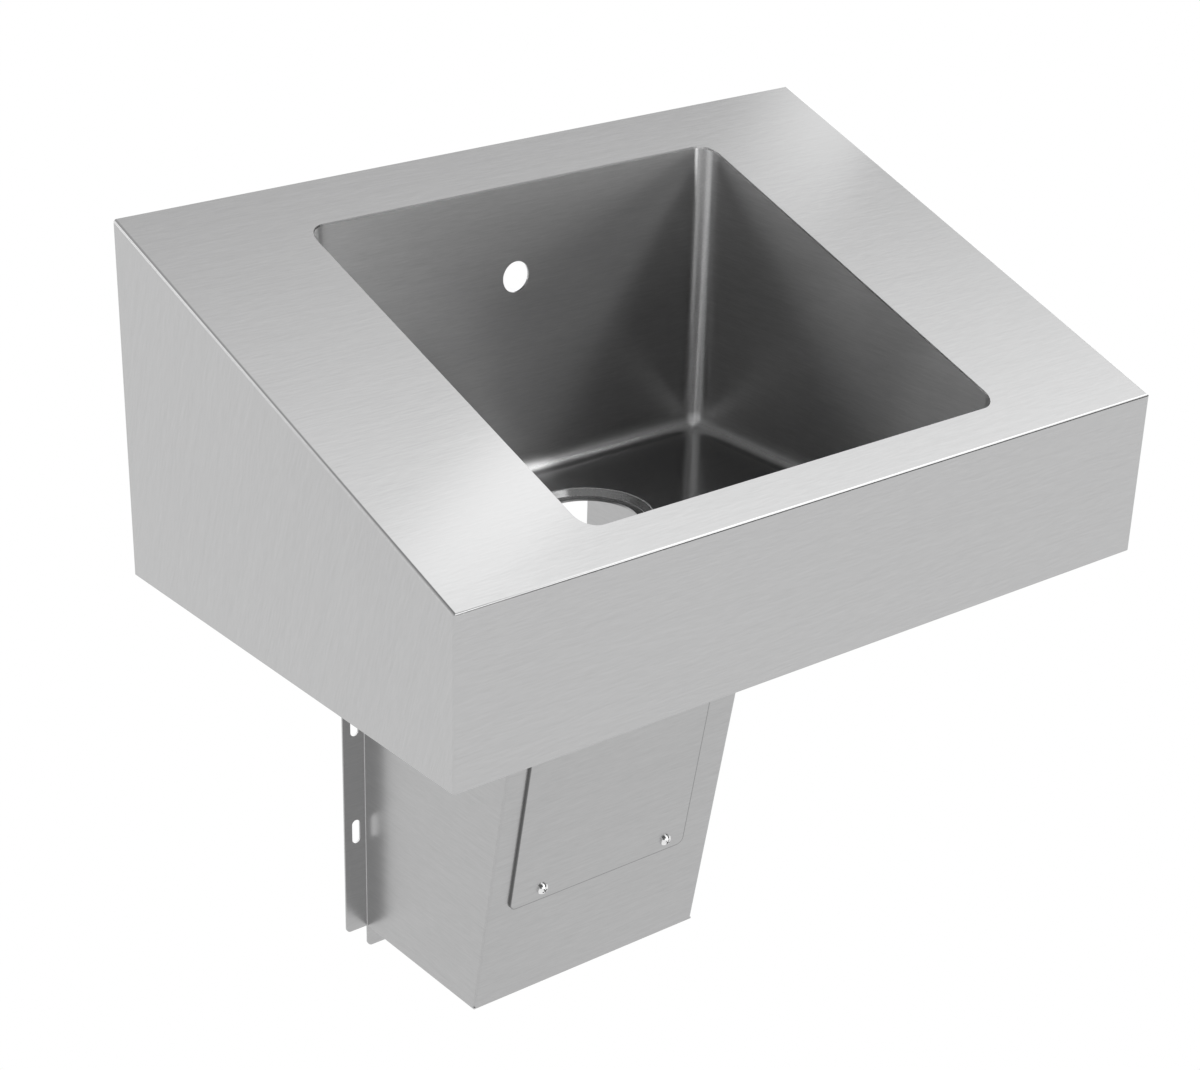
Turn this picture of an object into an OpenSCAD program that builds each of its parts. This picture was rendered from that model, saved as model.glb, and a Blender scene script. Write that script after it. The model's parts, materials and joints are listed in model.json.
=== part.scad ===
// Hand sink for a wall, in brushed stainless sheet: a folded body with a sloping deck, a pressed
// bowl, and a boxed cover over the trap with a screwed access panel.
// Millimetres. The wall is the plane y = 0, the front faces -Y and up is +Z. The origin is the
// middle of the wall rail's back face. The modules measure heights from the body's lower edge, and
// the module on_wall moves them down by the height of the rail's middle.

/* [Body] */
// Width of the body across the front
body_w = 600; // [560:1:800]
// Depth of the body from the wall to the apron
body_d = 381; // [350:1:450]
// Height of the front apron
apron_h = 118.7; // [105:0.1:150]
// Slope of the deck down to the front, in degrees
deck_slope = 20; // [16:0.5:24]
// Thickness of the body's sheet
sheet_t = 1.5; // [1:0.1:2]
// Inside radius of every fold
fold_r = 0.7; // [0.5:0.1:1.2]
// Outside radius of the welded front corners, after grinding
corner_r = 2; // [1:0.1:4]

/* [Hook and rail] */
// Thickness of the hook strip under the deck's rear edge
hook_t = 2; // [1.5:0.1:2.5]
// Length of the hook strip
hook_l = 400; // [300:1:500]
// Height of the hook strip's upright leg
hook_h = 40; // [34:1:46]
// Width of the hook strip's upper leg, against the deck
hook_leg = 18; // [12:1:25]
// Thickness of the wall rail
rail_t = 2; // [1.5:0.1:2.5]
// Length of the wall rail
rail_l = 420; // [400:1:520]
// Height of the rail's leg on the wall
rail_leg = 36; // [30:1:40]
// Height of the rail's lip above its step
rail_lip = 16; // [10:1:20]
// Room between the hook strip and the rail's lip
rail_gap = 0.5; // [0.3:0.1:1]
// Running room between seated pieces
seat_gap = 0.1; // [0.05:0.01:0.3]
// Number of slots in the rail
rail_slots = 4; // [2:2:4]
// Distance between the rail's slots
rail_pitch = 120; // [100:1:125]
// Length of a slot in the rail
rail_slot_l = 16; // [12:1:24]

/* [Bowl] */
// Width inside the bowl
bowl_w = 358.5; // [330:0.5:400]
// Deck between the wall and the bowl
rim_rear = 44.4; // [38:0.1:60]
// Deck between the bowl and the apron
rim_front = 30.2; // [20:0.1:45]
// Height of the bowl's floor above the body's lower edge
floor_up = 17.7; // [10:0.1:30]
// Inside radius of the bowl's corners and of its floor's edge
bowl_r = 14; // [10:0.5:20]
// Thickness of the bowl's sheet
bowl_t = 1.5; // [1:0.1:2]
// Distance from the wall to the middle of the waste hole
waste_back = 134.7; // [125:0.1:150]
// Radius of the waste hole
waste_r = 36.7; // [30:0.1:38]
// Radius of the sunk ring round the waste hole
recess_r = 47.3; // [46:0.1:50]
// Depth of the sunk ring
recess_depth = 4.4; // [3:0.1:5]
// Radius of the overflow hole
overflow_r = 11.6; // [8:0.1:14]
// Height of the overflow hole's middle above the bowl's floor
overflow_up = 154.3; // [130:0.1:170]

/* [Trap cover] */
// Width of the cover
cover_w = 219; // [205:1:230]
// Depth of the cover at its bottom
cover_d = 146.5; // [135:0.5:160]
// Distance from the body's lower edge down to the cover's bottom
cover_drop = 365; // [345:1:390]
// Lean of the cover's front, out towards the top, in degrees
cover_lean = 9.75; // [8:0.25:11]
// Thickness of the cover's sheet
cover_t = 1.5; // [1:0.1:2]
// Width of the cover's flanges on the wall
flange_w = 20; // [17:0.5:26]
// Radius of a flange's lower outer corner
flange_r = 4; // [1:0.5:6]
// Width of every fixing slot
slot_w = 7.5; // [5.5:0.1:9]
// Length of a flange's slot
slot_l = 21; // [15:0.5:30]
// Number of slots in a flange
slot_count = 3; // [2:1:3]
// Distance between a flange's slots
slot_pitch = 96.6; // [80:0.1:110]
// Distance from a flange's lower end to its first slot's middle
slot_end = 91.5; // [60:0.5:100]
// Thickness of the base plate
base_t = 1.5; // [1:0.1:2]
// Height of the base plate's turned-down tab
tab_h = 20; // [14:0.5:30]
// Radius of the tab's lower corners
tab_r = 4.5; // [1:0.5:6]

/* [Access panel] */
// Width of the access panel
panel_w = 170; // [160:0.5:175]
// Height of the access panel, along the lean
panel_h = 200; // [170:1:230]
// Thickness of the access panel
panel_t = 2; // [1:0.1:3]
// Radius of the panel's corners
panel_r = 6; // [2:0.5:9]
// Distance of the panel's middle left of the cover's middle
panel_shift = 4.9; // [0:0.1:6]
// Distance from the cover's bottom to the panel's lower edge, along the lean
panel_up = 92.5; // [70:0.5:110]
// Overlap of the panel on the cover at each side
lap_side = 15; // [10:0.5:18]
// Overlap of the panel on the cover at its top and bottom
lap_end = 22; // [19:0.5:30]

/* [Screws and nuts] */
// Distance between the screws across the panel
screw_span = 121; // [110:0.5:130]
// Distance from the panel's upper or lower edge to a screw
screw_inset = 10.7; // [8:0.1:12]
// Diameter of a screw's shank
screw_d = 5; // [4:0.1:6]
// Length of a screw under its head
screw_l = 10; // [9:0.5:16]
// Diameter of a screw's head
head_d = 9.5; // [8.5:0.1:11]
// Height of a screw's head
head_h = 3.7; // [3.2:0.1:4.2]
// Height of the straight rim of a screw's head
head_rim = 1.4; // [1:0.1:1.8]
// Width of the cross recess
cross_w = 4.6; // [3.5:0.1:5.5]
// Thickness of a wing of the cross recess
cross_t = 1.1; // [0.8:0.1:1.5]
// Depth of the cross recess
cross_depth = 2.2; // [1.5:0.1:2.6]
// Length of the cone at a screw's tip
tip_l = 0.8; // [0.5:0.1:1.2]
// Radial room between a screw's shank and its nut
thread_gap = 0.05; // [0.02:0.01:0.1]
// Radial room between a screw's shank and the sheets that it passes through
hole_gap = 0.25; // [0.15:0.05:0.5]
// Width of a weld nut across its flats
nut_w = 10; // [9:0.5:12]
// Height of a weld nut
nut_h = 4; // [3:0.5:5]

/* [Cleats] */
// Thickness of the cleats
cleat_t = 1.5; // [1:0.1:2]
// Width of each leg of a cleat
cleat_leg = 15; // [10:0.5:18]
// Length of the side cleats
cleat_side_l = 100; // [70:1:120]
// Length of the front cleat
cleat_front_l = 140; // [100:1:160]

/* [Hidden] */
$fn = 96;

// Overrun of every cut
over = 1;
// Straight pieces that stand for the curve of one fold
fold_steps = 8;
steel = "#b9bbbc";
bright_steel = "#d4d6d8";

// Height of the deck's rear edge, and of the deck at any y
back_h = apron_h + body_d * tan(deck_slope);
function deck_z(y) = back_h + y * tan(deck_slope);
// Height of a face that lies a distance below the deck
function under_deck(y, depth) = deck_z(y) - depth / cos(deck_slope);
// A length beyond every side of the object
reach = body_w + body_d + back_h + cover_drop;

// The bowl's middle, its depth from front to back, and its underside
bowl_mid = (body_d - rim_front + rim_rear) / 2;
bowl_d = body_d - rim_front - rim_rear;
bowl_under = floor_up - bowl_t;
// Half the sheet's thickness carried round a bend of 45 degrees
recess_bend = bowl_t / 2 * tan(22.5);
ring_r = recess_r + 2 * (fold_r + bowl_t);

// The hook strip's lower edge rests on the rail's step, which leans at 45 degrees
hook_low = under_deck(0, sheet_t) - hook_h;
rail_step = hook_t + rail_gap;
step_low = hook_low - seat_gap - hook_t - rail_t * (sqrt(1 / 2) - 1 / 2);
rail_mid = step_low - rail_leg / 2;

// The cover's lower edge stands on the base plate
cover_low = base_t - cover_drop;
// Depth of the folded strip that turns the cover's side into its flange
flange_run = flange_w;
function cover_front(z) = -cover_d - (z + cover_drop) * tan(cover_lean);

// Height of the panel's outer face above the cover's front
panel_face = seat_gap + panel_t;
screw_x = screw_span / 2;
screw_low = panel_up + screw_inset;
screw_high = panel_up + panel_h - screw_inset;
// Places of the screws on the cover's front, and how far each one's cross is turned
screw_places = [[-screw_x, screw_low], [screw_x, screw_low], [-screw_x, screw_high], [screw_x, screw_high]];
screw_angles = [30, 65, 10, 50];

function unit(v) = v / norm(v);
function left_of(d) = [-d[1], d[0]];
function turned(v, a) = [v[0] * cos(a) - v[1] * sin(a), v[0] * sin(a) + v[1] * cos(a)];
function turn_between(a, b) = atan2(a[0] * b[1] - a[1] * b[0], a * b);
function reversed(list) = [for (i = [len(list) - 1 : -1 : 0]) list[i]];

// Points round one bend of a sheet at corner p, from direction a to direction b. The sheet is t
// thick with the inside radius r, and side is 1 for its left face and -1 for its right face.
function bend_points(p, a, b, t, r, side) =
    let (turn = turn_between(a, b), way = sign(turn), mid_r = r + t / 2,
         centre = p - a * mid_r * tan(abs(turn) / 2) + left_of(a) * way * mid_r,
         face_r = mid_r - way * side * t / 2)
    [for (k = [0 : fold_steps]) centre - turned(left_of(a), turn * k / fold_steps) * way * face_r];

// One face of a folded sheet whose middle plane follows the path
function sheet_face(path, t, side) =
    let (last = len(path) - 1,
         first_way = unit(path[1] - path[0]),
         last_way = unit(path[last] - path[last - 1]))
    concat([path[0] + left_of(first_way) * side * t / 2],
           [for (i = [1 : last - 1])
                each bend_points(path[i], unit(path[i] - path[i - 1]), unit(path[i + 1] - path[i]),
                                 t, fold_r, side)],
           [path[last] + left_of(last_way) * side * t / 2]);

// Section of a folded sheet
module folded(path, t) {
    polygon(concat(sheet_face(path, t, 1), reversed(sheet_face(path, t, -1))));
}

// Corner points with each corner rounded to its own radius, where zero leaves it sharp
function rounded(points, radii) =
    let (n = len(points))
    [for (i = [0 : n - 1])
        each radii[i] == 0 ? [points[i]]
             : bend_points(points[i], unit(points[i] - points[(i + n - 1) % n]),
                           unit(points[(i + 1) % n] - points[i]), 0, radii[i], 1)];

// A plate standing on its middle of the lower edge, with lower corners of one radius
module plate(w, h, low_r, high_r) {
    polygon(rounded([[-w / 2, 0], [w / 2, 0], [w / 2, h], [-w / 2, h]], [low_r, low_r, high_r, high_r]));
}

// A slot with round ends along X
module slot(l, w) {
    square([l - w, w], center = true);
    for (side = [-1, 1])
        translate([side * (l - w) / 2, 0]) circle(d = w);
}

// Moves heights from the body's lower edge to the rail's middle
module on_wall() {
    translate([0, 0, -rail_mid]) children();
}

// Extrudes a section drawn in (y, z) along X, evenly about the middle
module along_x(l) {
    rotate([90, 0, 90]) linear_extrude(height = l, center = true) children();
}

// Puts a shape drawn flat on the cover's leaning front: x across, y up the lean, z outwards
module on_front() {
    translate([0, -cover_d, -cover_drop]) rotate([90 + cover_lean, 0, 0]) children();
}

// What rounds off a long sharp corner, which lies at the origin and is open to +X and +Y
module corner_off(r) {
    linear_extrude(height = 2 * reach, center = true)
        polygon(concat([for (k = [0 : fold_steps]) turned([r, 0], 90 * k / fold_steps) - [r, r]],
                       [[-r, over], [over, over], [over, -r]]));
}

// The body as a block, drawn in by a distance from its deck, apron and sides, and grown past its
// open rear and underside
module body_block(inset, bend_r, past) {
    half_w = body_w / 2 - inset;
    front = inset - body_d;
    difference() {
        along_x(2 * half_w)
            polygon(rounded([[past, -past], [past, under_deck(past, inset)],
                             [front, under_deck(front, inset)], [front, -past]], [0, 0, bend_r, 0]));
        for (side = [0, 1])
            mirror([side, 0, 0]) translate([half_w, 0, back_h]) rotate([90 + deck_slope, 0, 0])
                translate([0, -inset, 0]) corner_off(bend_r);
    }
}

module body_shell() {
    color(steel) on_wall() difference() {
        body_block(0, fold_r + sheet_t, 0);
        body_block(sheet_t, fold_r, over);
        for (side = [0, 1])
            mirror([side, 0, 0]) translate([body_w / 2, -body_d, 0]) rotate(-90) corner_off(corner_r);
        translate([0, -bowl_mid - bowl_d / 2, 0]) linear_extrude(height = back_h + over)
            plate(bowl_w, bowl_d, bowl_r, bowl_r);
    }
}

// Section of the bowl's wall and floor edge, from the corner's axis, with the floor at zero
module bowl_section() {
    translate([bowl_r, bowl_r]) square([bowl_t, back_h - bowl_r]);
    translate([0, bowl_r]) intersection() {
        difference() {
            circle(r = bowl_r + bowl_t);
            circle(r = bowl_r);
        }
        translate([0, -bowl_r - bowl_t]) square(bowl_r + bowl_t);
    }
}

// The bowl about the middle of its floor, its walls taller than the deck
module bowl_pressing() {
    // The straight lengths between the corner centres
    run = [bowl_w - 2 * bowl_r, bowl_d - 2 * bowl_r];
    ways = [[1, 1], [-1, 1], [-1, -1], [1, -1]];
    for (k = [0 : 3]) {
        translate([ways[k][0] * run[0] / 2, ways[k][1] * run[1] / 2, 0])
            rotate(90 * k) rotate_extrude(angle = 90) bowl_section();
        rotate(90 * k) translate([0, run[(k + 1) % 2] / 2, 0])
            along_x(run[k % 2]) bowl_section();
    }
    translate([0, 0, -bowl_t]) linear_extrude(height = bowl_t) difference() {
        square(run, center = true);
        translate([0, bowl_mid - waste_back]) circle(r = ring_r);
    }
    translate([0, bowl_mid - waste_back, 0]) rotate_extrude()
        folded([[waste_r, -recess_depth - bowl_t / 2],
                [recess_r - recess_depth + recess_bend, -recess_depth - bowl_t / 2],
                [recess_r + recess_bend, -bowl_t / 2],
                [ring_r, -bowl_t / 2]], bowl_t);
}

module bowl() {
    color(steel) on_wall() difference() {
        translate([0, -bowl_mid, floor_up]) bowl_pressing();
        translate([0, 0, under_deck(0, sheet_t)]) rotate([deck_slope, 0, 0])
            translate([-body_w / 2, -reach, 0]) cube([body_w, 2 * reach, reach]);
        translate([0, over - rim_rear, floor_up + overflow_up]) rotate([-90, 0, 0])
            translate([0, 0, -2 * over]) cylinder(h = bowl_t + 2 * over, r = overflow_r);
    }
}

module body_hook() {
    corner_z = under_deck(-hook_t / 2, sheet_t + hook_t / 2);
    leg_way = [-cos(deck_slope), -sin(deck_slope)];
    color(steel) on_wall() along_x(hook_l)
        folded([[-hook_t / 2, hook_low], [-hook_t / 2, corner_z],
                [-hook_t / 2, corner_z] + hook_leg * leg_way], hook_t);
}

module wall_rail() {
    lip_y = -rail_t / 2 - rail_step;
    color(steel) difference() {
        on_wall() along_x(rail_l)
            folded([[-rail_t / 2, step_low - rail_leg], [-rail_t / 2, step_low],
                    [lip_y, step_low + rail_step], [lip_y, step_low + rail_step + rail_lip]], rail_t);
        for (i = [0 : rail_slots - 1])
            translate([(i - (rail_slots - 1) / 2) * rail_pitch, over, 0]) rotate([90, 0, 0])
                linear_extrude(height = rail_t + 2 * over) slot(rail_slot_l, slot_w);
    }
}

// The cover as a block in front of its flange strips, drawn in by a distance from its front and sides
module cover_block(inset, bend_r, past) {
    half_w = cover_w / 2 - inset;
    low = cover_low - past;
    high = bowl_under + past;
    leaning_inset = inset / cos(cover_lean);
    difference() {
        along_x(2 * half_w)
            polygon([[past - flange_run, low], [past - flange_run, high],
                     [cover_front(high) + leaning_inset, high], [cover_front(low) + leaning_inset, low]]);
        for (side = [0, 1])
            mirror([side, 0, 0]) translate([half_w, -cover_d, -cover_drop]) rotate([cover_lean, 0, 0])
                translate([0, inset, 0]) rotate(-90) corner_off(bend_r);
    }
}

// The strip at the wall, from the left side out into its slotted flange
module cover_flange() {
    side_x = (cover_t - cover_w) / 2;
    difference() {
        translate([0, 0, -cover_drop]) linear_extrude(height = bowl_under + cover_drop)
            folded([[side_x, -flange_run], [side_x, -cover_t / 2], [-cover_w / 2 - flange_w, -cover_t / 2]],
                   cover_t);
        translate([-cover_w / 2, -reach, -cover_drop - over])
            cube([cover_w, reach + over, base_t + over]);
        translate([-cover_w / 2 - flange_w, over, -cover_drop]) rotate([90, 0, 0])
            linear_extrude(height = cover_t + 2 * over) difference() {
                translate([-over, -over]) square(flange_r + over);
                translate([flange_r, flange_r]) circle(r = flange_r);
            }
        for (i = [0 : slot_count - 1])
            translate([(cover_t - cover_w - flange_w) / 2, over, slot_end - cover_drop + i * slot_pitch])
                rotate([90, 90, 0]) linear_extrude(height = cover_t + 2 * over) slot(slot_l, slot_w);
    }
}

module trap_cover() {
    color(steel) on_wall() difference() {
        union() {
            difference() {
                cover_block(0, fold_r + cover_t, 0);
                cover_block(cover_t, fold_r, over);
            }
            cover_flange();
            mirror([1, 0, 0]) cover_flange();
        }
        on_front() translate([-panel_shift, panel_up + lap_end, -cover_t - over])
            linear_extrude(height = cover_t + 2 * over)
                plate(panel_w - 2 * lap_side, panel_h - 2 * lap_end, panel_r, panel_r);
        on_front() for (place = screw_places)
            translate([place[0], place[1], -cover_t - over])
                cylinder(h = cover_t + 2 * over, r = screw_d / 2 + hole_gap);
    }
}

module cover_base() {
    color(steel) on_wall() difference() {
        along_x(cover_w)
            folded([[-body_d, base_t / 2 - cover_drop], [-base_t / 2, base_t / 2 - cover_drop],
                    [-base_t / 2, -cover_drop - tab_h]], base_t);
        on_front() translate([-cover_w / 2 - over, -reach, 0]) cube([cover_w + 2 * over, 2 * reach, reach]);
        for (side = [0, 1])
            mirror([side, 0, 0]) translate([-cover_w / 2, over, -cover_drop - tab_h]) rotate([90, 0, 0])
                linear_extrude(height = base_t + 2 * over) difference() {
                    translate([-over, -over]) square(tab_r + over);
                    translate([tab_r, tab_r]) circle(r = tab_r);
                }
    }
}

module cover_cleat_left() {
    wall_x = cover_t - cover_w / 2;
    color(steel) on_wall() translate([0, cleat_side_l / 2 - waste_back, 0]) rotate([90, 0, 0])
        linear_extrude(height = cleat_side_l)
            folded([[wall_x + cleat_t / 2, bowl_under - cleat_leg],
                    [wall_x + cleat_t / 2, bowl_under - cleat_t / 2],
                    [wall_x + cleat_leg, bowl_under - cleat_t / 2]], cleat_t);
}

module cover_cleat_right() {
    mirror([1, 0, 0]) cover_cleat_left();
}

module cover_cleat_front() {
    leg_depth = (cover_t + cleat_t / 2) / cos(cover_lean);
    low_z = bowl_under - cleat_leg;
    high_z = bowl_under - cleat_t / 2;
    color(steel) on_wall() along_x(cleat_front_l)
        folded([[cover_front(low_z) + leg_depth, low_z], [cover_front(high_z) + leg_depth, high_z],
                [cover_front(high_z) + leg_depth + cleat_leg, high_z]], cleat_t);
}

module access_panel() {
    color(steel) on_wall() on_front() difference() {
        translate([-panel_shift, panel_up, seat_gap]) linear_extrude(height = panel_t)
            plate(panel_w, panel_h, panel_r, panel_r);
        for (place = screw_places)
            translate([place[0], place[1], -over])
                cylinder(h = panel_face + 2 * over, r = screw_d / 2 + hole_gap);
    }
}

module panel_weld_nuts() {
    color(bright_steel) on_wall() on_front() for (place = screw_places)
        translate([place[0], place[1], -cover_t - nut_h]) difference() {
            cylinder(h = nut_h, d = nut_w / cos(30), $fn = 6);
            translate([0, 0, -over]) cylinder(h = nut_h + 2 * over, r = screw_d / 2 + thread_gap);
        }
}

// The pan-head screw at one of the places, with its head on the panel
module panel_screw(index) {
    place = screw_places[index];
    dome_h = head_h - head_rim;
    dome_r = (pow(head_d / 2, 2) + pow(dome_h, 2)) / (2 * dome_h);
    color(bright_steel) on_wall() on_front() translate([place[0], place[1], panel_face]) difference() {
        union() {
            intersection() {
                cylinder(h = head_h, d = head_d);
                translate([0, 0, head_h - dome_r]) sphere(r = dome_r);
            }
            translate([0, 0, tip_l - screw_l]) cylinder(h = screw_l - tip_l, d = screw_d);
            translate([0, 0, -screw_l]) cylinder(h = tip_l, d1 = screw_d - 2 * tip_l, d2 = screw_d);
        }
        for (wing = [0, 90])
            rotate(screw_angles[index] + wing) translate([-cross_w / 2, -cross_t / 2, head_h - cross_depth])
                cube([cross_w, cross_t, cross_depth + over]);
    }
}

module panel_screw_lower_left() {
    panel_screw(0);
}

module panel_screw_lower_right() {
    panel_screw(1);
}

module panel_screw_upper_left() {
    panel_screw(2);
}

module panel_screw_upper_right() {
    panel_screw(3);
}

body_shell();
bowl();
body_hook();
wall_rail();
trap_cover();
cover_base();
cover_cleat_left();
cover_cleat_right();
cover_cleat_front();
access_panel();
panel_weld_nuts();
panel_screw_lower_left();
panel_screw_lower_right();
panel_screw_upper_left();
panel_screw_upper_right();
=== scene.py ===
"""Looks of the wall-hung hand sink: brushed stainless sheet, a pressed bowl with drawn corners, bright
screws, and the plain white studio that the sheet reflects. Metres, in the CAD model's frame."""

import json
import math
from collections import namedtuple

import bmesh
import bpy
import numpy as np
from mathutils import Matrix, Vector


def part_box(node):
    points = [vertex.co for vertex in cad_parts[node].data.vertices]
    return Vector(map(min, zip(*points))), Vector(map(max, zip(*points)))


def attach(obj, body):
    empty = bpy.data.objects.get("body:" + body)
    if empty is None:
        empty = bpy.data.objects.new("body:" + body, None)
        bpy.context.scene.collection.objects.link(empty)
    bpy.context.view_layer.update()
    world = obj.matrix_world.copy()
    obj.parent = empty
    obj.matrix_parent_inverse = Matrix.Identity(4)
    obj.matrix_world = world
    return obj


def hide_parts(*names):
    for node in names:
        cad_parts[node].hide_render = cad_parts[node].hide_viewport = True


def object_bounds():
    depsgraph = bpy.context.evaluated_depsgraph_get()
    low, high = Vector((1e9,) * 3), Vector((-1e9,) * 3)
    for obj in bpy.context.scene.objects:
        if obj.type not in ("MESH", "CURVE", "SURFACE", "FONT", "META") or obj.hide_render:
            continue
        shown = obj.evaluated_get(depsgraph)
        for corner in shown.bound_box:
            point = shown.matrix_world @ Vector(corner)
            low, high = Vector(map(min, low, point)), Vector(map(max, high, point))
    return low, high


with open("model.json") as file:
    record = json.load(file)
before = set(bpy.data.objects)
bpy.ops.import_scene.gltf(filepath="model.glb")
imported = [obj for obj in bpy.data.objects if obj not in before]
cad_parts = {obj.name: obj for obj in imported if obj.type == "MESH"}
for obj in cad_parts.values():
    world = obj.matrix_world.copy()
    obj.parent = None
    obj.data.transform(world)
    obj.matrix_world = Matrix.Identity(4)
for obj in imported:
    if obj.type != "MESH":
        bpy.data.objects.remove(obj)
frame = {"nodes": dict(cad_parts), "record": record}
cad_low, cad_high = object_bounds()

MM_PER_M = 1000

# Sheet and folds, as the maker bends them
BOWL_SHEET = 0.0015
BODY_SHEET = 0.0015
FOLD_RADIUS = 0.0007
DECK_SLOPE = math.radians(20)
COVER_LEAN = math.radians(9.75)

# The bowl's pressing
CORNER_RADIUS = 0.014
RING_RADIUS = 0.0473
RING_DEPTH = 0.0044
RING_SLOPE = math.radians(45)

# The grid of the pressing: steps round a corner, a small bend and a side of the square that the overflow
# hole is cut in, the size of that square in diameters of the hole, the spacing of columns and of the
# rows of a wall, and the rows across the floor as shares of the way to the ring
CORNER_STEPS = 12
BEND_STEPS = 6
HOLE_STEPS = 16
HOLE_MARGIN = 1.5
COLUMN_STEP = 0.004
WALL_STEP = 0.016
FLOOR_SHARES = (0.35, 0.7)
MERGE_DISTANCE = 1e-6
SHARP_ANGLE = math.radians(35)
FLAT_FACE_WEIGHT = 100

# The access panel on the cover's leaning front
PANEL_LENGTH = 0.2
PANEL_RADIUS = 0.006
# The width of the painted shade line inside the access panel's outline
PANEL_SHADE_WIDTH = 0.0007

# Where the photograph was taken from, and its frame
IMAGE_SIZE = (1200, 1070)
CAMERA_PLACE = (-1.052, -1.413, 0.547)
CAMERA_AZIMUTH = math.radians(-35.81)
CAMERA_ELEVATION = math.radians(26.80)
FOCAL_PIXELS = 2487.1
AXIS_PIXEL = (443.5, 649.0)
SENSOR_WIDTH = 0.036

# The studio's floor, below the middle of the sink
FLOOR_DEPTH = 0.95
FLOOR_REACH = 40.0
PALE = (0.8, 0.8, 0.8, 1.0)
WHITE = (1.0, 1.0, 1.0, 1.0)


def turned(vectors, angle):
    """Plane vectors turned anticlockwise by the angle."""
    c, s = math.cos(angle), math.sin(angle)
    x, y = vectors[..., 0], vectors[..., 1]
    return np.stack([x * c - y * s, x * s + y * c], -1)


def folded_line(corners, bend_radius, steps):
    """The middle line of a folded sheet in (r, z) with its left normals. Each bend is an arc of the
    radius, tangent to its two straights: centre + turned(start - centre, share of the turn)."""
    corners = np.asarray(corners, float)
    ways = np.diff(corners, axis=0)
    ways /= np.linalg.norm(ways, axis=1)[:, None]
    points, normals = [corners[:1]], [turned(ways[:1], math.pi / 2)]
    for corner, before, after in zip(corners[1:-1], ways[:-1], ways[1:]):
        turn = math.atan2(before[0] * after[1] - before[1] * after[0], before @ after)
        side = turned(before, math.pi / 2) * math.copysign(1, turn)
        start = corner - before * bend_radius * math.tan(abs(turn) / 2)
        centre = start + side * bend_radius
        shares = np.linspace(0, turn, steps + 1)
        points.append(np.array([centre + turned(start - centre, share) for share in shares]))
        normals.append(np.array([turned(before, share + math.pi / 2) for share in shares]))
    points.append(corners[-1:])
    normals.append(turned(ways[-1:], math.pi / 2))
    return np.concatenate(points), np.concatenate(normals)


def bowl_columns(half_width, half_depth, hole_half):
    """The loop through the corners' centres and its outward normals, anticlockwise from the right end of
    the rear wall, and the column where the overflow hole's square starts. A straight keeps its normal
    while its axis point runs along, and a corner keeps its axis point while its normal turns by 90
    degrees."""
    run_x, run_y = half_width - CORNER_RADIUS, half_depth - CORNER_RADIUS
    hole_lines = np.linspace(-hole_half, hole_half, HOLE_STEPS + 1)
    outer = np.linspace(hole_half, run_x, round((run_x - hole_half) / COLUMN_STEP) + 1)[1:]
    along_wide = np.concatenate([-outer[::-1], hole_lines, outer])
    along_deep = np.linspace(-run_y, run_y, round(2 * run_y / COLUMN_STEP) + 1)
    arc = np.linspace(0, math.pi / 2, CORNER_STEPS + 1)[1:-1]
    axes, normals = [], []
    for quarter in range(4):
        way = quarter * math.pi / 2
        run, across = (along_wide, run_y) if quarter % 2 == 0 else (along_deep, run_x)
        straight = turned(np.stack([-run, np.full_like(run, across)], -1), way)
        axes.append(straight)
        normals.append(turned(np.tile([0.0, 1.0], (len(run), 1)), way))
        axes.append(np.repeat(straight[-1:], len(arc), 0))
        normals.append(np.stack([-np.sin(way + arc), np.cos(way + arc)], -1))
    return np.concatenate(axes), np.concatenate(normals), len(outer)


def lifted(plane, z):
    """Plane points with a height."""
    return np.concatenate([plane, np.broadcast_to(z, plane.shape[:-1])[..., None]], -1)


def quads(*corners):
    """Quads from four arrays of point numbers, one for each corner."""
    return np.stack([np.ravel(numbers) for numbers in corners], -1)


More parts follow.
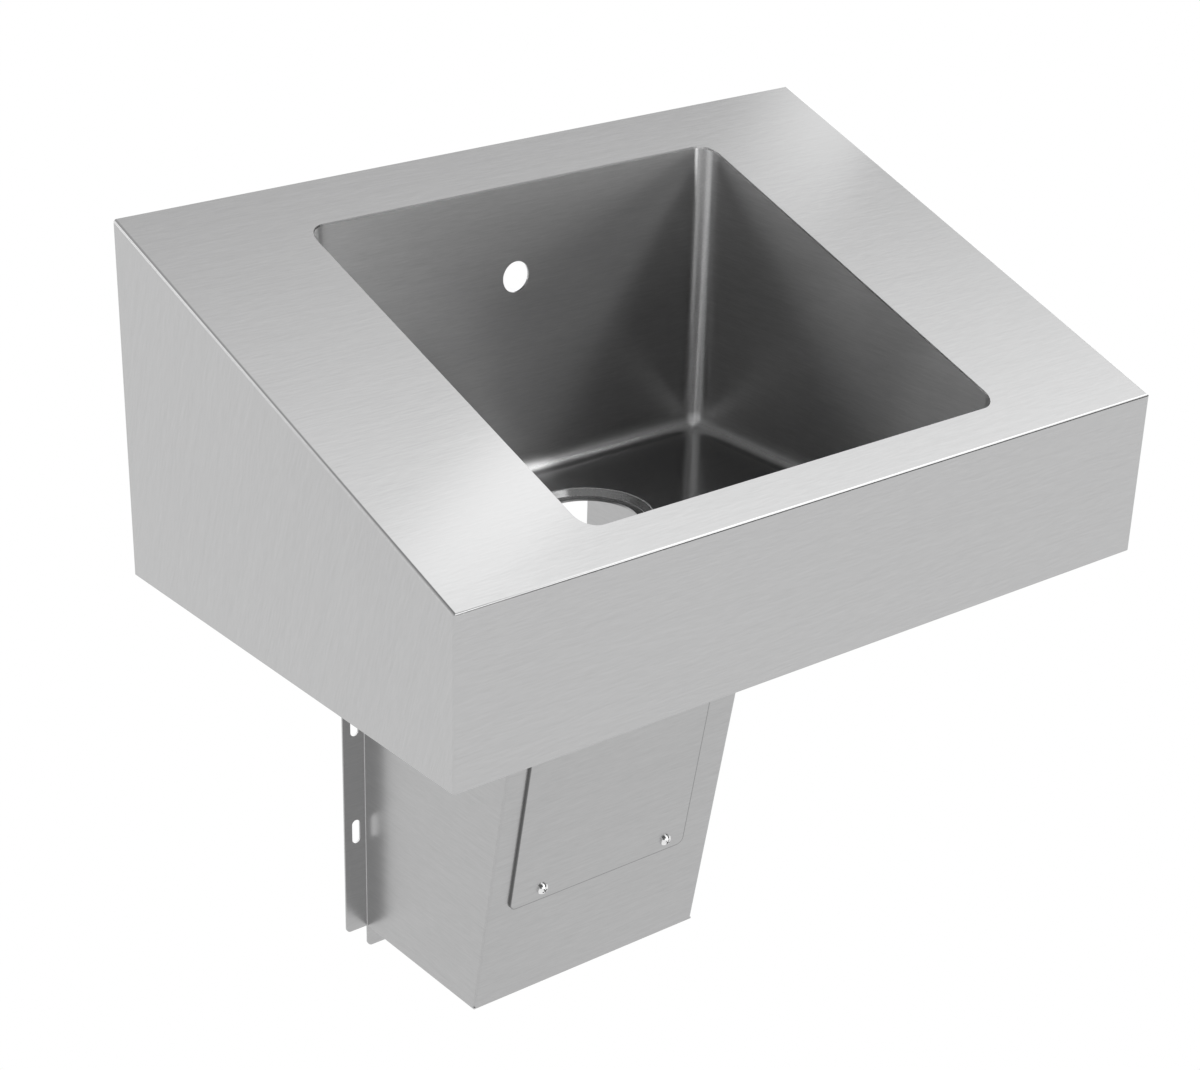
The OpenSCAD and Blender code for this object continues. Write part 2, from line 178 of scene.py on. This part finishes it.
def make_bowl():
    """One closed pressed sheet. Its middle surface is a grid of rows from the rim to the waste hole and
    columns round the bowl, and its two faces lie half the sheet's thickness along the normals:
    wall = axis + outward * (R + t/2),
    floor edge = axis + outward * (R + t/2) cos(a) - up * (R + t/2) sin(a),
    floor = a blend of the corner centres' loop and the ring's circle,
    ring = the folded line turned about the waste hole's axis.
    The overflow hole is a band of quads between a circle and a square of the grid."""
    low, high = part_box("bowl")
    mounts = {m["name"]: m for m in frame["record"]["mounts"]}
    waste, overflow = mounts["waste_hole"], mounts["overflow_hole"]
    waste_radius = waste["dims"]["r_mm"] / MM_PER_M
    hole_radius = overflow["dims"]["r_mm"] / MM_PER_M
    half = BOWL_SHEET / 2
    middle = np.array([0.0, (low.y + high.y) / 2])
    floor_z = low.z + BOWL_SHEET + RING_DEPTH
    bend_z = floor_z + CORNER_RADIUS
    hole_half = hole_radius * HOLE_MARGIN
    half_depth = (high.y - low.y) / 2 - BOWL_SHEET
    axes, outward, first_hole_column = bowl_columns(high.x - BOWL_SHEET, half_depth, hole_half)
    axes = axes + middle
    columns = len(axes)

    def rim_z(y):
        """The height of the deck's underside, where the wall ends."""
        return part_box("body_shell")[1].z + y * math.tan(DECK_SLOPE) - BODY_SHEET / math.cos(DECK_SLOPE)

    # Shares of the wall's height, from the rim down, with even rows across the overflow hole
    rear_height = rim_z(high.y - BOWL_SHEET) - bend_z
    hole_low = (overflow["pos_m"][2] - hole_half - bend_z) / rear_height
    hole_high = (overflow["pos_m"][2] + hole_half - bend_z) / rear_height
    rows_below = round(hole_low * rear_height / WALL_STEP)
    wall_shares = np.concatenate([[1.0], np.linspace(hole_high, hole_low, HOLE_STEPS + 1),
                                  np.linspace(hole_low, 0, rows_below + 1)[1:-1]])

    # From the floor down the sloping edge of the ring to the waste hole, so the left side is below
    bend_take = half * math.tan(RING_SLOPE / 2)
    ring_corners = [(RING_RADIUS + 2 * (FOLD_RADIUS + BOWL_SHEET), -half),
                    (RING_RADIUS + bend_take, -half),
                    (RING_RADIUS - RING_DEPTH + bend_take, -RING_DEPTH - half),
                    (waste_radius, -RING_DEPTH - half)]

    def face(side):
        """The inner face for side 1 and the outer face for side -1."""
        reach = CORNER_RADIUS + half - side * half
        wall_plane = axes + outward * reach
        top = rim_z(wall_plane[:, 1])
        rows = [lifted(wall_plane, bend_z + share * (top - bend_z)) for share in wall_shares]
        for angle in np.linspace(0, math.pi / 2, CORNER_STEPS + 1):
            bend_plane = axes + outward * reach * math.cos(angle)
            rows.append(lifted(bend_plane, bend_z - reach * math.sin(angle)))
        centre = np.array([0.0, waste["pos_m"][1]])
        spokes = axes + outward * CORNER_RADIUS - centre
        spokes /= np.linalg.norm(spokes, axis=1)[:, None]
        line, left = folded_line(ring_corners, FOLD_RADIUS + half, BEND_STEPS)
        line = line - left * side * half
        for share in FLOOR_SHARES:
            edge = centre + spokes * line[0, 0]
            rows.append(lifted(axes * (1 - share) + edge * share, floor_z - half + side * half))
        for radius, height in line:
            rows.append(lifted(centre + spokes * radius, floor_z + height))
        return np.array(rows)

    inner, outer = face(1), face(-1)
    rows = len(inner)
    points = np.concatenate([inner.reshape(-1, 3), outer.reshape(-1, 3)])

    row, column = np.meshgrid(np.arange(rows - 1), np.arange(columns), indexing="ij")
    following = (column + 1) % columns
    in_hole = ((row >= 1) & (row < 1 + HOLE_STEPS) & (column >= first_hole_column)
               & (column < first_hole_column + HOLE_STEPS))
    kept = ~in_hole
    r, c, n = row[kept], column[kept], following[kept]
    back = rows * columns
    faces = [quads(r * columns + c, (r + 1) * columns + c, (r + 1) * columns + n, r * columns + n),
             back + quads(r * columns + n, (r + 1) * columns + n, (r + 1) * columns + c, r * columns + c)]
    ring = np.arange(columns)
    after = (ring + 1) % columns
    last = (rows - 1) * columns
    faces.append(quads(ring, after, back + after, back + ring))
    faces.append(quads(last + after, last + ring, back + last + ring, back + last + after))

    # The overflow hole, between the square's edge of the grid and the circle
    steps = np.arange(HOLE_STEPS)
    at_start, at_end = 0 * steps, 0 * steps + HOLE_STEPS
    edge_rows = 1 + np.concatenate([at_start, steps, at_end, HOLE_STEPS - steps])
    edge_columns = first_hole_column + np.concatenate([HOLE_STEPS - steps, at_start, steps, at_end])
    edge = edge_rows * columns + edge_columns
    count = len(edge)
    centre = np.array([overflow["pos_m"][0], overflow["pos_m"][2]])
    for side in (0, 1):
        spokes = points[edge + side * back][:, [0, 2]] - centre
        spokes /= np.linalg.norm(spokes, axis=1)[:, None]
        circle = np.insert(centre + spokes * hole_radius, 1, points[edge[0] + side * back, 1], axis=1)
        points = np.concatenate([points, circle])
    circle = 2 * back + np.arange(count)
    step = np.roll(np.arange(count), -1)
    faces.append(quads(edge, edge[step], circle[step], circle))
    faces.append(quads(back + edge[step], back + edge, count + circle, count + circle[step]))
    faces.append(quads(circle, circle[step], count + circle[step], count + circle))
    return mesh_piece("bowl_pressing", points, np.concatenate(faces))


def mesh_piece(name, points, faces):
    """A mesh object at the origin, its doubles merged and its faces turned outwards."""
    mesh = bpy.data.meshes.new(name)
    mesh.from_pydata(points.tolist(), [], faces.tolist())
    work = bmesh.new()
    work.from_mesh(mesh)
    bmesh.ops.remove_doubles(work, verts=work.verts, dist=MERGE_DISTANCE)
    bmesh.ops.recalc_face_normals(work, faces=work.faces)
    work.to_mesh(mesh)
    work.free()
    mesh.shade_smooth()
    mesh.set_sharp_from_angle(angle=SHARP_ANGLE)
    piece = bpy.data.objects.new(name, mesh)
    bpy.context.scene.collection.objects.link(piece)
    weights = piece.modifiers.new("flat faces first", "WEIGHTED_NORMAL")
    weights.keep_sharp = True
    weights.weight = FLAT_FACE_WEIGHT
    return piece


class Wire:
    """A shader socket that Python's operators join with Math nodes."""

    def __init__(self, finish, socket):
        self.finish, self.socket = finish, socket

    def math(self, operation, *others):
        return self.finish.add("ShaderNodeMath", {"operation": operation}, self, *others)

    def __add__(self, other):
        return self.math("ADD", other)

    __radd__ = __add__

    def __mul__(self, other):
        return self.math("MULTIPLY", other)

    __rmul__ = __mul__

    def __sub__(self, other):
        return self.math("SUBTRACT", other)

    def __rsub__(self, other):
        return self.finish.add("ShaderNodeMath", {"operation": "SUBTRACT"}, other, self)

    def __truediv__(self, other):
        return self.math("DIVIDE", other)

    def __pow__(self, other):
        return self.math("POWER", other)

    def __gt__(self, other):
        return self.math("GREATER_THAN", other)

    def __lt__(self, other):
        return self.math("LESS_THAN", other)

    def size(self):
        return self.math("ABSOLUTE")

    def clamped(self):
        return self.finish.add("ShaderNodeClamp", {}, self)


class Finish:
    """A node tree to which add() adds one node: its type, its settings, and its inputs by place or name."""

    def __init__(self, tree):
        self.tree = tree
        self.tree.nodes.clear()

    def add(self, kind, settings, *inputs, output=0, **named):
        node = self.tree.nodes.new(kind)
        for key, value in settings.items():
            setattr(node, key, value)
        for place, value in enumerate(inputs):
            self.put(node.inputs[place], value)
        for key, value in named.items():
            self.put(node.inputs[key.replace("_", " ")], value)
        return Wire(self, node.outputs[output]) if node.outputs else None

    def put(self, socket, value):
        if isinstance(value, Wire):
            self.tree.links.new(value.socket, socket)
        else:
            socket.default_value = value

    def part(self, vector, axis):
        """A vector's share of one axis."""
        return self.add("ShaderNodeSeparateXYZ", {}, vector, output="XYZ".index(axis))

    def rise(self, value, start, end, course="SMOOTHSTEP"):
        """0 before the start and 1 past the end."""
        return self.add("ShaderNodeMapRange", {"interpolation_type": course}, value, start, end, 0.0, 1.0)

    def ray(self, kind):
        """1 for rays of one kind."""
        return self.add("ShaderNodeLightPath", {}, output=f"Is {kind} Ray")


def material(name):
    """A new material and its node tree."""
    made = bpy.data.materials.new(name)
    made.use_nodes = True
    return made, Finish(made.node_tree)


# The brush. A streak is so long on X, and so wide on Y and Z, before it is turned, and each of the three
# reads the noise at a place of its own. A shade is how much it lightens or darkens the sheet, and a
# dulling how much rougher or finer it makes it.
FINE_STREAK = {"size": (0.006, 0.0004, 0.0004), "detail": 1.0, "origin": (0.53, 0.11, 0.67)}
SHORT_STREAK = {"size": (0.016, 0.0011, 0.0011), "detail": 2.0, "origin": (0.13, 0.27, 0.41)}
LONG_STREAK = {"size": (0.09, 0.004, 0.004), "detail": 1.0, "origin": (0.71, 0.37, 0.19)}
FINER_OCTAVES = 0.6
FINE_SHADE = 0.06
SHORT_SHADE = 0.13
LONG_SHADE = 0.05
SHORT_DULLING = 0.06
LONG_DULLING = 0.03

# The scratches stand this deep, the fine ones this share of it. The steel is this much bluer than grey,
# and its reflections are stretched a quarter turn from the shader's own way, which is across the brush.
SCRATCH_DEPTH = 0.0002
SCRATCH_STRENGTH = 0.03
FINE_HEIGHT = 0.3
COOL_STEEL = 1.003
STRETCH_ACROSS = 0.25

# Which way the brush runs. A face looks sideways when its normal's share of X is over SIDEWAYS.
ALONG_X = (0, 0, 0)
ALONG_Y = (0, 0, math.pi / 2)
UP_BODY_SIDE = (0, DECK_SLOPE - math.pi / 2, -math.pi / 2)
SIDEWAYS = 0.7


def streaks(finish, place, turn, size, detail, origin):
    """Noise drawn out along the brush, from 0 to 1."""
    spot = finish.add("ShaderNodeMapping", {"vector_type": "TEXTURE"}, place,
                      Location=origin, Rotation=turn, Scale=size)
    return finish.add("ShaderNodeTexNoise", {"noise_dimensions": "3D"}, spot,
                      Scale=1.0, Detail=detail, Roughness=FINER_OCTAVES)


def brushed_sheet(name, tint, roughness, stretch, grain, side_turn=ALONG_Y, painted_light_and_roughness=None):
    """Brushed stainless sheet. The brush runs along X on fronts, tops and floors, and by side_turn on
    faces that look sideways. Stretch is the shader's own spread of a reflection across the brush, and
    the last argument, when given, paints light and shade into the colour and changes the roughness in
    places."""
    made, finish = material(name)
    place = finish.add("ShaderNodeTexCoord", {}, output="Object")
    normal = finish.add("ShaderNodeNewGeometry", {}, output="True Normal")
    sideways = finish.part(normal, "X").size() > SIDEWAYS

    def brush(streak):
        forward = streaks(finish, place, ALONG_X, **streak)
        aside = streaks(finish, place, side_turn, **streak)
        return forward * (1 - sideways) + aside * sideways - 0.5

    fine, short, long = brush(FINE_STREAK), brush(SHORT_STREAK), brush(LONG_STREAK)
    shade = tint * (1 + (fine * FINE_SHADE + short * SHORT_SHADE + long * LONG_SHADE) * grain)
    # Painted light and shade, and roughness changes, from the last argument
    if painted_light_and_roughness:
        shade, roughness = painted_light_and_roughness(finish, place, normal, shade, roughness)
    colour = finish.add("ShaderNodeCombineColor", {}, shade, shade, shade * COOL_STEEL)
    scratches = finish.add("ShaderNodeBump", {}, Strength=SCRATCH_STRENGTH, Distance=SCRATCH_DEPTH,
                           Height=short + fine * FINE_HEIGHT)
    shader = finish.add("ShaderNodeBsdfPrincipled", {}, Base_Color=colour, Metallic=1.0,
                        Roughness=roughness + short * SHORT_DULLING + long * LONG_DULLING,
                        Normal=scratches, Anisotropic=stretch, Anisotropic_Rotation=STRETCH_ACROSS)
    finish.add("ShaderNodeOutputMaterial", {}, shader)
    return made


# The body's cut edge round the bowl lies within this reach of the middle, and the deck's normal has more
# than this share of Z
CUT_EDGE_REACH = 0.2
DECK_UPWARD = 0.5


def body_edge_painted_light(finish, place, normal, shade, roughness):
    """The body: painted light doubles the colour of the cut edge at the bowl's sides, and all but the deck
    is twice as rough as the deck."""
    sideways = finish.part(normal, "X").size() > SIDEWAYS
    painted_light_edge = sideways * (finish.part(place, "X").size() < CUT_EDGE_REACH)
    off_deck = finish.part(normal, "Z") < DECK_UPWARD
    # Painted light: the cut edge's colour is doubled
    return shade * (1 + painted_light_edge), roughness * (1 + off_deck)


# The bowl's bends, painted brighter as a painted highlight, from where the smooth normal's largest share
# leaves 1 to the middle of a bend, and its floor, painted darker as painted shade, by the normal's share of
# Z
BEND_START = 0.97
BEND_MIDDLE = 0.75
BEND_PAINTED_HIGHLIGHT = 0.9
FLOOR_START = 0.6
FLOOR_LEVEL = 0.95
FLOOR_PAINTED_SHADE = 0.25
FLOOR_FINER = 0.5


def bowl_painted_light(finish, place, normal, shade, roughness):
    """The bowl: a painted highlight on its bends, down to the level of its floor, and painted shade on the
    floor and its edge, which are also finer."""
    smooth = finish.add("ShaderNodeNewGeometry", {}, output="Normal")
    x, y, z = (finish.part(smooth, axis).size() for axis in "XYZ")
    bend = finish.rise(x.math("MAXIMUM", y).math("MAXIMUM", z), BEND_START, BEND_MIDDLE)
    floor_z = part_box("bowl")[0].z + BOWL_SHEET + RING_DEPTH
    above_floor = finish.part(place, "Z") > floor_z
    level = finish.rise(z, FLOOR_START, FLOOR_LEVEL, "LINEAR")
    # Painted highlight on the bends above the floor, painted shade on the floor
    shade = shade * (1 + bend * above_floor * BEND_PAINTED_HIGHLIGHT) * (1 - level * FLOOR_PAINTED_SHADE)
    return shade, roughness * (1 - level * FLOOR_FINER)


# How much the painted shade darkens the line inside the panel's outline
PANEL_PAINTED_SHADE = 0.45


def panel_painted_shade(finish, place, normal, shade, roughness):
    """The access panel: painted shade, a darker line inside its outline, which is a rectangle with rounded
    corners. A point's distance past the rectangle of the corners' centres is measured on the leaning face."""
    low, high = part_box("access_panel")
    reach_x, reach_up = (high.x - low.x) / 2 - PANEL_RADIUS, PANEL_LENGTH / 2 - PANEL_RADIUS
    middle_z = low.z + PANEL_LENGTH / 2 * math.cos(COVER_LEAN)
    across = (finish.part(place, "X") - (low.x + high.x) / 2).size() - reach_x
    up = ((finish.part(place, "Z") - middle_z) / math.cos(COVER_LEAN)).size() - reach_up
    outside = (across.math("MAXIMUM", 0.0) ** 2 + up.math("MAXIMUM", 0.0) ** 2) ** 0.5
    inside = across.math("MAXIMUM", up).math("MINIMUM", 0.0)
    rim = outside + inside > PANEL_RADIUS - PANEL_SHADE_WIDTH
    return shade * (1 - rim * PANEL_PAINTED_SHADE), roughness


MARKS_PER_METRE = 900.0
MARKS_CHANGE = 0.1


def bright_steel(name, tint, roughness):
    """Turned or rolled bright steel, with fine irregular marks."""
    made, finish = material(name)
    place = finish.add("ShaderNodeTexCoord", {}, output="Object")
    marks = finish.add("ShaderNodeTexNoise", {}, place, Scale=MARKS_PER_METRE, Detail=2.0) - 0.5
    shade = tint * (1 + marks * MARKS_CHANGE)
    colour = finish.add("ShaderNodeCombineColor", {}, shade, shade, shade)
    shader = finish.add("ShaderNodeBsdfPrincipled", {}, Base_Color=colour, Metallic=1.0,
                        Roughness=roughness + marks * MARKS_CHANGE)
    finish.add("ShaderNodeOutputMaterial", {}, shader)
    return made


def dress(node, made):
    """Gives a CAD node's object one material."""
    slots = frame["nodes"][node].material_slots
    for slot in slots:
        slot.material = made
    if not slots:
        frame["nodes"][node].data.materials.append(made)


# The studio's light by direction. A turn goes about X in degrees, from 0 at the rear horizon by 90
# overhead to 180 at the front horizon. A reach is the direction's share of X, from -1 at the left to 1 at
# the right. A box has a strength, the two turns between which its light comes in, the two between which
# it goes out, the same by reach, and how far it leans to the left per degree of turn past LEAN_FROM.
# None stands for an edge that it doesn't have, and UNDER_REAR for one below the rear horizon.
SoftBox = namedtuple("SoftBox", "strength start end left right lean", defaults=(0.0,))
LEAN_FROM = 60
UNDER_REAR = (-95, -90)
SOFT_BOXES = (
    # Behind and low, for the front of the bowl's right wall and the bright line on the deck's left fold
    SoftBox(1.6, UNDER_REAR, (44, 58), None, None),
    # From behind to overhead, for the whole deck
    SoftBox(0.5, UNDER_REAR, (70, 84), None, None),
    # A dark flag at the left, which takes the first one's light off the bowl's right wall
    SoftBox(-1.3, (12, 20), (40, 48), None, (-0.7, -0.4)),
    # Behind at the right and brighter upwards, which makes the deck brighter towards its front
    SoftBox(1.2, (49.5, 84), (82, 88), (0.3, 0.42), (0.8, 0.95)),
    # Overhead at the right, for the bowl's rear right corner and the bright line on the deck's front fold
    SoftBox(2.2, (75, 86), (108, 122), (0.5, 0.62), (0.95, 1.05)),
    # In front at the right, for the left of the bowl's rear wall, the waste ring and the screws
    SoftBox(4.2, (128, 135), None, (0.12, 0.2), (0.34, 0.57)),
    # In front and low, in the middle and at the left, for the streaks down the bowl's rear right corner
    SoftBox(1.5, (163, 170), None, (-0.2, -0.05), (0.15, 0.25)),
    SoftBox(2.0, (144, 154), (160, 170), None, (-0.8, -0.6)),
    # In front and high at the right, for the bowl's rear wall and the deck's front fold
    SoftBox(2.0, (126, 130), (135, 140), (0.4, 0.5), (0.68, 0.8)),
    # The ceiling, for the bends round the bowl's floor and for the deck as seen from above
    SoftBox(0.3, (78, 92), (128, 150), None, None),
    # Banks at the right, at the left and in front, for the body as seen from the side and from below
    SoftBox(0.8, (95, 110), None, (0.8, 0.92), None),
    SoftBox(0.8, (95, 110), None, None, (-0.92, -0.8)),
    SoftBox(0.8, (150, 170), None, (-0.4, -0.25), (0, 0.1)),
    # Two beams, for the patches of light at the deck's rear right and front left corners
    SoftBox(0.62, (40, 50), (58.5, 64.5), (0.642, 0.684), (0.692, 0.702), 0.006),
    SoftBox(0.5, (64.5, 66.5), (67.5, 72.5), (0.655, 0.705), (0.735, 0.752), 0.0177),
)
DIM_ROOM = 0.09


def soft_box(finish, turn, reach, box):
    """One box's light by direction: its strength times a smooth step at each of its edges."""
    across = reach + (turn - LEAN_FROM) * box.lean
    light = box.strength
    for value, coming, going in ((turn, box.start, box.end), (across, box.left, box.right)):
        if coming:
            light = finish.rise(value, *coming) * light
        if going:
            light = (1 - finish.rise(value, *going)) * light
    return light


def make_world():
    """A studio with a white floor that runs on to the horizon, and soft boxes in a dim room above it. The
    camera itself sees white all round."""
    world = bpy.data.worlds.new("studio")
    bpy.context.scene.world = world
    world.use_nodes = True
    finish = Finish(world.node_tree)
    way = finish.add("ShaderNodeTexCoord", {}, output="Generated")
    reach, back, up = (finish.part(way, axis) for axis in "XYZ")
    turn = up.math("ARCTAN2", back) * math.degrees(1)
    sky = DIM_ROOM
    for box in SOFT_BOXES:
        sky = soft_box(finish, turn, reach, box) + sky
    glow = finish.add("ShaderNodeCombineColor", {}, sky, sky, sky)
    room = finish.add("ShaderNodeBackground", {}, glow, 1.0)
    white = finish.add("ShaderNodeBackground", {}, WHITE, 1.0)
    mirrored = finish.ray("Glossy") + finish.ray("Transmission")
    shows_white = (finish.ray("Camera") + mirrored * (up < 0)).clamped()
    shown = finish.add("ShaderNodeMixShader", {}, shows_white, room, white)
    finish.add("ShaderNodeOutputWorld", {}, shown)


def make_floor():
    """A pale floor that is white to the camera and in reflections, and clear from below."""
    z = ((cad_low + cad_high) / 2).z - FLOOR_DEPTH
    corners = [(x * FLOOR_REACH, y * FLOOR_REACH, z) for x, y in ((-1, -1), (1, -1), (1, 1), (-1, 1))]
    mesh = bpy.data.meshes.new("floor")
    mesh.from_pydata(corners, [], [(0, 1, 2, 3)])
    floor = bpy.data.objects.new("floor", mesh)
    bpy.context.scene.collection.objects.link(floor)
    made, finish = material("pale floor")
    pale = finish.add("ShaderNodeBsdfDiffuse", {}, PALE)
    white = finish.add("ShaderNodeEmission", {}, WHITE, 1.0)
    mirrored = finish.ray("Glossy") + finish.ray("Transmission")
    shows_white = (finish.ray("Camera") + mirrored).clamped()
    above = finish.add("ShaderNodeMixShader", {}, shows_white, pale, white)
    clear = finish.add("ShaderNodeBsdfTransparent", {})
    from_below = finish.add("ShaderNodeNewGeometry", {}, output="Backfacing")
    shown = finish.add("ShaderNodeMixShader", {}, from_below, above, clear)
    finish.add("ShaderNodeOutputMaterial", {}, shown)
    mesh.materials.append(made)


def make_camera():
    """The photograph's camera: its place, its aim without roll, and its off-centre optical axis."""
    data = bpy.data.cameras.new("camera")
    data.sensor_width = SENSOR_WIDTH * MM_PER_M
    data.lens = FOCAL_PIXELS / IMAGE_SIZE[0] * data.sensor_width
    data.shift_x = (IMAGE_SIZE[0] / 2 - AXIS_PIXEL[0]) / IMAGE_SIZE[0]
    data.shift_y = (AXIS_PIXEL[1] - IMAGE_SIZE[1] / 2) / IMAGE_SIZE[0]
    camera = bpy.data.objects.new("camera", data)
    camera.location = CAMERA_PLACE
    camera.rotation_euler = (math.pi / 2 - CAMERA_ELEVATION, 0, CAMERA_AZIMUTH)
    bpy.context.scene.collection.objects.link(camera)
    bpy.context.scene.camera = camera


make_camera()
make_world()
make_floor()

bowl = make_bowl()
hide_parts("bowl")
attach(bowl, "sink")

body_finish = brushed_sheet("brushed body", tint=0.5, roughness=0.09, stretch=0.0, grain=1.0,
                            side_turn=UP_BODY_SIDE, painted_light_and_roughness=body_edge_painted_light)
# The cover and the panel are the body's steel with a lower tint: painted shade for the shade the body casts
# on them
cover_finish = brushed_sheet("brushed cover", tint=0.449, roughness=0.3, stretch=0.3, grain=1.6)
panel_finish = brushed_sheet("brushed panel", tint=0.449, roughness=0.3, stretch=0.3, grain=1.6,
                             painted_light_and_roughness=panel_painted_shade)
bowl_finish = brushed_sheet("brushed bowl", tint=0.48, roughness=0.33, stretch=1.0, grain=2.0,
                            painted_light_and_roughness=bowl_painted_light)
screw_finish = bright_steel("bright screw", tint=0.8, roughness=0.12)
nut_finish = bright_steel("bare nut", tint=0.5, roughness=0.35)
bowl.data.materials.append(bowl_finish)
for node in frame["nodes"]:
    if "screw" in node:
        dress(node, screw_finish)
    elif "nut" in node:
        dress(node, nut_finish)
    elif "body" in node or "rail" in node:
        dress(node, body_finish)
    elif "panel" in node:
        dress(node, panel_finish)
    else:
        dress(node, cover_finish)

bpy.context.scene.view_settings.view_transform = "Standard"
